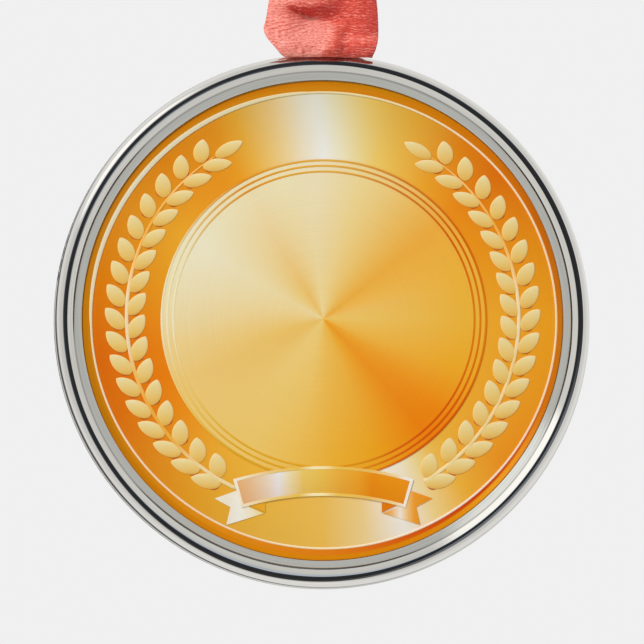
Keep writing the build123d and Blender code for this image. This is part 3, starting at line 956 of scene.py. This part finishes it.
def front_folds(x, h):
    """Folds of the part that hangs over the rim, in mm outwards, from the place across and the height."""
    # Left and middle: a hollow with a soft roll above it and a long lit slope below.
    deep = 2.5 + 0.3 * np.clip(-x, 0, None) + 0.15 * np.clip(x, 0, None)
    upper = np.maximum(4.4 + 0.15 * x, deep + 0.6)
    above = np.cos(math.pi / 2 * np.clip((h - deep) / (upper - deep), 0, 1)) ** 1.4
    below = np.cos(math.pi / 2 * np.clip((deep - h) / 3.8, 0, 1)) ** 2
    left = -1.5 * np.where(h > deep, above, below) * smooth_step(x, -5.4, -1.8)
    left = left + 0.6 * bell(x, -2.8, 2.4) * bell(h, 4.8, 0.9)
    left = left + 0.5 * bell(x, 0.9, 2.4) * (1 - smooth_step(h, 0.6, 2.8))
    left = left + 0.3 * bell(x, 0.2, 1.2) * bell(h, -1.6, 0.5)
    # Right: a lower, nearly flat part, reached by a step down that is soft at the top.
    right = -0.15 - 0.95 * smooth_step(h, -0.8, 0.9) + 0.25 * smooth_step(x, 2.6, 5.5)
    soft = smooth_step(h, 2.0, 4.5)
    step = smooth_step(x, 1.0 - 1.6 * soft, 3.0 - 0.3 * soft)
    push = left + (right - left) * step
    push = push - 0.06 * np.clip(x - 3.6, 0, None) ** 2 - 0.045 * np.clip(-x - 3.2, 0, None) ** 2
    # Fine creases that rise to the right below the hollow.
    fan = np.sin(2 * math.pi * (h - 0.3 * x) / 0.52 + 0.8 * np.sin(1.1 * x) + 0.6 * np.sin(2.7 * h))
    push = push + 0.05 * fan * bell(h, 1.7, 1.3) * (1 - smooth_step(x, 1.4, 2.4))
    # The lower edge is crinkled.
    hem = np.sin(3.9 * x + 1.3 * np.sin(2.3 * x)) * np.sin(4.1 * h + 1.7 * x)
    return push + 0.08 * hem * (1 - smooth_step(h, -1.6, -0.4))


def back_folds(x, neck, along, share):
    """Displacement of the rest of the ribbon outwards, in mm: the gathered neck and slow waves."""
    waves = 0.22 * np.sin(0.21 * along + 0.9) * np.cos(0.35 * x) - 0.2 * share ** 2
    return neck * 0.24 * np.sin(share * 11.0 + 0.6) + (1 - neck) * waves


def ribbon():
    """The ribbon as one closed strip, swept along its route and pushed out of it by the folds."""
    line, along = resample(smooth_line(RIBBON_ROUTE, 24), 0.14, 0.5, 9.0)
    y, height, left, right = line.T
    tangent = np.gradient(line[:, :2], along, axis=0)
    tangent /= np.linalg.norm(tangent, axis=1)[:, None]
    # The route runs clockwise seen from +X, so its outward side is to the left of travel.
    outward = np.stack([-tangent[:, 1], tangent[:, 0]], axis=1)
    share = np.linspace(-1, 1, 85)[None, :] + 0 * along[:, None]
    x = np.where(share < 0, share * left[:, None], share * right[:, None])
    h = height[:, None] + 0 * x
    run = along[:, None] + 0 * x
    hanging = 1 - smooth_step(h, 6.5, 11.0)
    upper_front = smooth_step(-y, 2.4, 3.2)[:, None] * smooth_step(h, 0.5, 1.5) * hanging
    front = np.maximum(smooth_step(-y, 2.9, 4.0)[:, None] * hanging, upper_front)
    neck = smooth_step(-0.5 * (left + right), -4.6, -3.6)[:, None] + 0 * x
    patches = 0.5 + 0.5 * np.sin(0.83 * x + 1.7 * run)
    crinkle = np.sin(7.3 * run + 2.1 * np.sin(1.3 * x + 0.4 * run)) * patches
    push = (1 - front) * back_folds(x, neck, run, share) + 0.018 * crinkle
    forward = front * front_folds(x, h)
    points = np.zeros(x.shape + (3,))
    points[..., 0] = x * MM
    points[..., 1] = (y[:, None] - forward + push * outward[:, 0][:, None]) * MM
    points[..., 2] = BAR_Z + (h + push * outward[:, 1][:, None]) * MM
    by_row, by_column = np.gradient(points, axis=0), np.gradient(points, axis=1)
    normal = np.cross(by_row, by_column)
    normal /= np.linalg.norm(normal, axis=-1)[..., None]
    verts, faces = grid_solid(points + normal * RIBBON_THICK / 2, points - normal * RIBBON_THICK / 2)
    # Painted light and shade: fold slopes turned up or to the left are painted paler in the material, and
    # slopes turned away are painted darker.
    painted_light = 0.7 * np.gradient(forward, axis=0) / -np.gradient(along)[:, None]
    painted_light = painted_light + 0.5 * np.gradient(forward, axis=1) / np.gradient(x, axis=1)
    # Painted light: the left half of the hanging part is painted paler and the right half darker.
    painted_light = painted_light + 0.42 * front * (1 - 2 * smooth_step(x, -1.6, 2.6))
    strip = np.stack([x, run, np.clip(painted_light, -1, 1)], axis=-1).reshape(-1, 3)
    obj = make_solid("satin_ribbon", verts, faces, vectors=("strip", np.concatenate([strip, strip])))
    finish_piece(obj, ribbon_material(), body=None, replaces=["ribbon_loop"])
    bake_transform(obj)


def stitching(material):
    """Two rows of stitches through the lap, each a short thread that dips into the ribbon at both ends."""
    around, steps, count, pitch, reach, thread = 8, 9, 8, 1.7, 1.15, 0.13
    t = np.linspace(0, 1, steps)[:, None]
    turn = 2 * math.pi * np.arange(around)[None, :] / around
    lift = 0.1 * np.sin(math.pi * t) - 0.12 * (2 * t - 1) ** 6
    slim = thread * (0.55 + 0.45 * np.sin(math.pi * t))
    faces = [tuple(range(around)), tuple(range(steps * around - 1, (steps - 1) * around - 1, -1))]
    for a in range((steps - 1) * around):
        b = a // around * around + (a + 1) % around
        faces.append((a, b, b + around, a + around))
    stitches = []
    for row_height in (15.97, 21.96):
        # The lap's outer face is at 2.05 mm at a height of 13 mm, and leans out 0.4 mm in each 6 mm.
        out = 2.05 + (row_height - 13.0) * 0.4 / 6 + 0.16
        for index in range(count):
            x = (index - (count - 1) / 2) * pitch + (t - 0.5) * reach + 0 * turn
            y = out + lift + slim * np.cos(turn)
            z = row_height + 0.06 * (2 * t - 1) + slim * np.sin(turn)
            points = np.stack([x * MM, y * MM, BAR_Z + z * MM], axis=-1)
            stitches.append((points.reshape(-1, 3), faces))
    obj = make_solid("lap_stitches", *joined(stitches))
    finish_piece(obj, material, body="ribbon", replaces=["ribbon_stitching"])


# ---- studio ----
VIEW_AZIMUTH, VIEW_ELEVATION = -2.5, -4.0      # degrees from -Y, and above the level
LENS, DISTANCE = 120.0, 0.2612


def heading(azimuth, elevation):
    """Unit direction from its azimuth from -Y and its elevation, in degrees."""
    a, e = math.radians(azimuth), math.radians(elevation)
    return Vector((math.sin(a) * math.cos(e), -math.cos(a) * math.cos(e), math.sin(e)))


def aimed(name, data, place, along):
    """An object that looks along a direction, as cameras and lamps do."""
    made = bpy.data.objects.new(name, data)
    bpy.context.scene.collection.objects.link(made)
    made.location = place
    made.rotation_mode = "QUATERNION"
    made.rotation_quaternion = along.to_track_quat("-Z", "Y")
    return made


def camera():
    """Long lens square to the face, a little low and to the left, cropped to the medal."""
    back = heading(VIEW_AZIMUTH, VIEW_ELEVATION)
    target = Vector((-0.19 * MM, FACE_Y, CENTRE_Z - 0.4 * MM))
    data = bpy.data.cameras.new("camera")
    data.lens = LENS
    data.clip_start, data.clip_end = 0.01, 20
    bpy.context.scene.camera = aimed("camera", data, target + back * DISTANCE, -back)


def key_light():
    """Soft square lamp at the upper left that points at the medal and isn't mirrored in it."""
    data = bpy.data.lights.new("key", "AREA")
    data.size, data.energy = 0.32, 13.7
    place = Vector((-0.56, -0.84, CENTRE_Z + 0.84))
    aimed("key", data, place, Vector((0, 0, CENTRE_Z + 0.01)) - place).visible_glossy = False


def world():
    """Pale studio: plain behind the medal; in its reflections a tent of lighter and darker panels, dark
    round its opening in front, with a bright lamp panel at the upper left; dimmer as light on matt things."""
    made = bpy.data.worlds.new("studio")
    bpy.context.scene.world = made
    shader = Shader("studio", world=made)
    direction = shader.node("ShaderNodeTexCoord").outputs["Generated"]

    def angle_from(azimuth, elevation):
        """Degrees between the ray and a direction."""
        pair = (direction, heading(azimuth, elevation))
        dot = shader.node("ShaderNodeVectorMath", pair, operation="DOT_PRODUCT").outputs["Value"]
        angle = shader.math("ARCCOSINE", shader.math("MINIMUM", dot, 0.99999))
        return shader.math("MULTIPLY", angle, 180 / math.pi)

    def panel(azimuth, elevation, outer, inner, edge, middle):
        return shader.remap(angle_from(azimuth, elevation), outer, inner, edge, middle, smooth=True)

    tent = shader.ramp(angle_from(-VIEW_AZIMUTH, -VIEW_ELEVATION), {
        0: 0.032, 29: 0.04, 34: 0.14, 40: 0.5, 50: 0.64, 60: 0.66, 70: 0.66, 80: 0.7,
        95: 0.76, 130: 0.82, 155: 0.72, 170: 0.3, 180: 0.2})
    dark_behind = shader.grey(panel(-150, -7, 38, 24, 1.0, 0.12))
    lamp, sheen = panel(-65, 43, 21, 16, 0.0, 0.5), panel(17, -10, 14, 6, 0.0, 0.24)
    mirrored = shader.mix(1.0, shader.mix(1.0, tent, dark_behind, "MULTIPLY"),
                          shader.grey(shader.math("ADD", lamp, sheen)), "ADD")
    rays = shader.node("ShaderNodeLightPath").outputs
    on_matt = (0.46, 0.46, 0.46, 1.0)
    lit = shader.mix(rays["Is Diffuse Ray"], mirrored, on_matt)
    colour = shader.mix(rays["Is Camera Ray"], lit, "f0f0f0")
    background = shader.node("ShaderNodeBackground", {"Color": colour, "Strength": 1.0})
    shader.feed(shader.node("ShaderNodeOutputWorld").inputs["Surface"], background.outputs[0])


def floor():
    """Plain pale round floor under the medal."""
    count, radius, z = 128, 0.55, cad_low.z - 0.07
    turns = [2 * math.pi * i / count for i in range(count)]
    verts = [(0, 0, z)] + [(radius * math.cos(a), radius * math.sin(a), z) for a in turns]
    faces = [(0, 1 + i, 1 + (i + 1) % count) for i in range(count)]
    made = make_solid("floor", verts, faces)
    shader = Shader("floor_paper")
    paper = shader.mix(shader.noise(shader.place(), 40.0), "ececec", "f2f2f2")
    made.data.materials.append(shader.finish(Base_Color=paper, Roughness=0.9))
    made.visible_glossy = False


# ---- build ----
bpy.context.scene.view_settings.view_transform = "Standard"
camera()
world()
key_light()
floor()

frame_ring()
face_ground()
rim_band()
border_ring()
spun_disc()
ring_lines(line_material())
# The dark red marks under the leaves are painted shadows.
leaf_gold, stem_gold, leaf_shadow_red = leaf_material(), stem_material(), shadow_material()
for branch_side, branch_name in ((-1, "left"), (1, "right")):
    laurel_leaves(branch_side, branch_name, leaf_gold)
    laurel_stem(branch_side, branch_name, stem_gold)
    painted_leaf_shadows(branch_side, branch_name, leaf_shadow_red)
banner()
ribbon()
stitching(thread_material())

shell_chrome = chrome_material("polished_shell", worn=1.3, roughness=0.1)
for node, material in (("rear_shell", shell_chrome), ("bail", chrome_material("bail_wire", 0.6, 0.08)),
                       ("back_plate", back_material()), ("backing_pad", pad_material())):
    for index in range(len(frame["nodes"][node].material_slots)):
        frame["nodes"][node].material_slots[index].material = material
